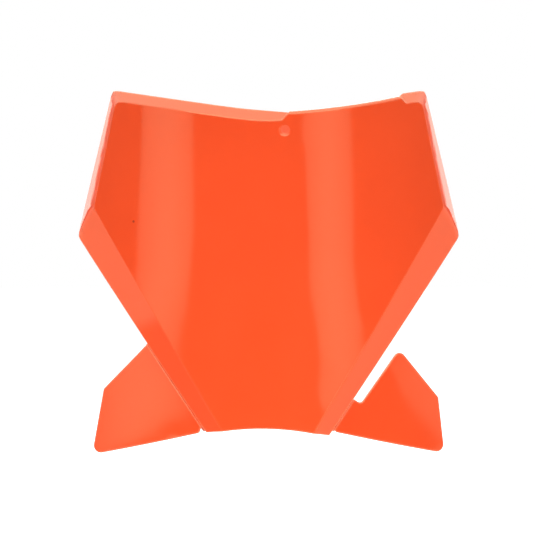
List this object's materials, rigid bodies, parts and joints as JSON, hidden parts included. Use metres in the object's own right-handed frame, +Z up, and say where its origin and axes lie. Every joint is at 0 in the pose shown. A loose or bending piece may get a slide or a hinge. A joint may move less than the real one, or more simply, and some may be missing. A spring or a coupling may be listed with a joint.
{
  "type": "racing number board",
  "caption": "Front number board for a motocross bike: curved face with bevelled flanges, two stepped lower wings and a hose slot.",
  "frame": {"origin": "on the middle plane, at the back of the face, level with the underside of the two mudguard lugs", "axes": "+X to the viewer's right seen from the front, +Y from the face to the back, +Z up"},
  "size_m": [0.2502, 0.0624, 0.2373],
  "materials": {
    "orange_plastic": "glossy moulded polypropylene, coloured through"
  },
  "bodies": {
    "root": {"number_board": "orange_plastic"}
  },
  "joints": []
}
